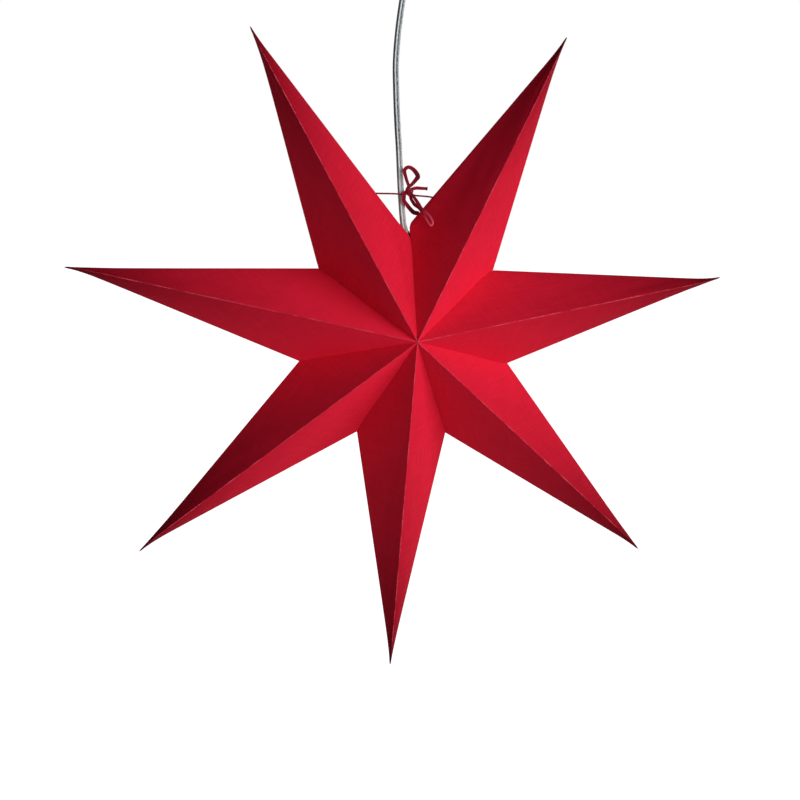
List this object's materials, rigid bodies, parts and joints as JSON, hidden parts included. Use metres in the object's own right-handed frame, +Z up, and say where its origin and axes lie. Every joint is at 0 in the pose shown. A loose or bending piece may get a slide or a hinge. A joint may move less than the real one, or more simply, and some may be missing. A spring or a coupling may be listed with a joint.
{
  "type": "hanging paper star",
  "caption": "Hanging star of folded paper points glued along their valleys, tied shut at a slot round a cord with a lampholder and bulb inside.",
  "frame": {"origin": "middle of the ceiling fitting's flat top, where it meets the ceiling", "axes": "+Z up out of the ceiling face, -Y the side of the star that the picture shows, +X to the right across the points"},
  "size_m": [0.6054, 0.172, 0.6516],
  "materials": {
    "paper": "linen-embossed coloured paper",
    "ribbon": "narrow woven ribbon",
    "cord": "clear flexible sheath over tinned strands",
    "white_plastic": "smooth white plastic",
    "ceramic": "unglazed white ceramic",
    "brass": "plain brass",
    "steel": "zinc-plated steel",
    "opal_glass": "opal glass"
  },
  "bodies": {
    "root": {"point_1": "paper", "point_2": "paper", "point_3": "paper", "point_4": "paper", "point_5": "paper", "point_6": "paper", "point_7": "paper", "tie_ribbon_left": "ribbon", "tie_ribbon_right": "ribbon", "lamp_cord": "cord", "lampholder_cap": "white_plastic", "lampholder_skirt": "white_plastic", "contact_carrier": "ceramic", "contact_sleeve": "brass", "centre_contact": "brass", "bulb_glass": "opal_glass", "bulb_base": "brass", "bulb_foot": "brass", "ceiling_cup": "white_plastic", "ceiling_cord_grip": "white_plastic", "ceiling_strap": "steel", "terminal_block": "ceramic"}
  },
  "joints": []
}
